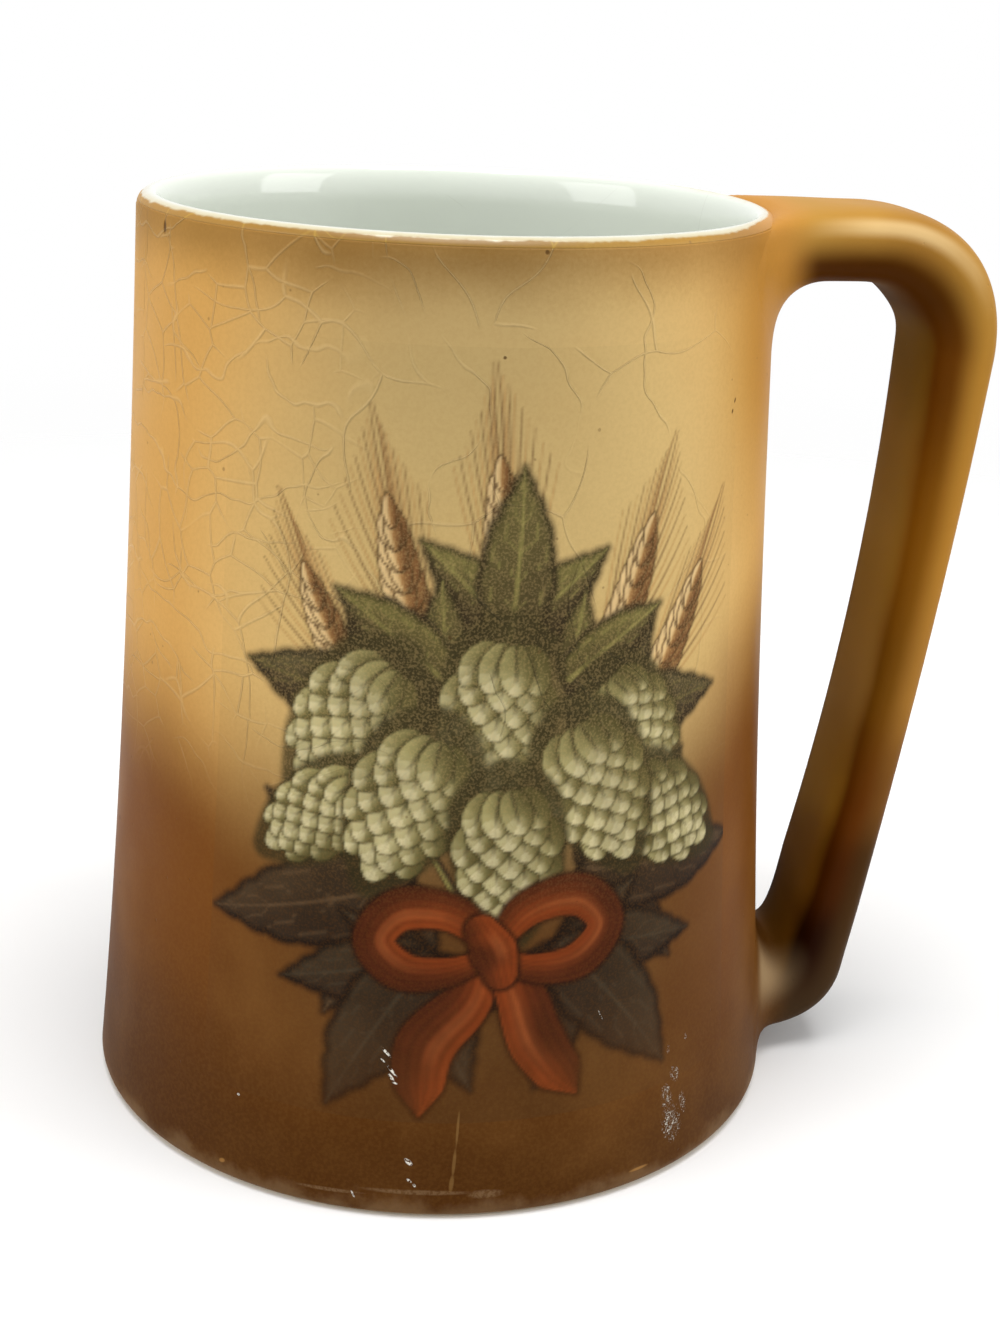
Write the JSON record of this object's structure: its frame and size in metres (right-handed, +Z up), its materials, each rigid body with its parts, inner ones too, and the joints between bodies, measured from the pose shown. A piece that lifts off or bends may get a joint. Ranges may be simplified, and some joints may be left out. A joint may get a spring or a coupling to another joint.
{
  "type": "beer mug",
  "caption": "Pottery beer mug: flared barrel shaded from straw to brown, broad strap handle flowing into the rim, white glazed cup, and a printed spray of hops and barley.",
  "frame": {"origin": "on the surface the mug stands on, under the middle of its whole outline with the handle", "axes": "+Z up out of the cup, +X from the barrel towards the handle, +Y across the barrel"},
  "size_m": [0.1132, 0.0904, 0.1146],
  "materials": {
    "sprayed_ground": "satin glaze over a sprayed ground, straw above and brown towards the foot, with a transfer print",
    "handle_ground": "satin glaze over a sprayed ground, orange ochre above and dark brown below",
    "luting_slip": "sponged slip under the satin glaze",
    "white_glaze": "glossy white glaze, pooled at the lip"
  },
  "bodies": {
    "root": {"mug_body": "sprayed_ground", "handle": "handle_ground", "upper_luting_slip": "luting_slip", "lower_luting_slip": "luting_slip", "inner_glaze": "white_glaze"}
  },
  "joints": []
}
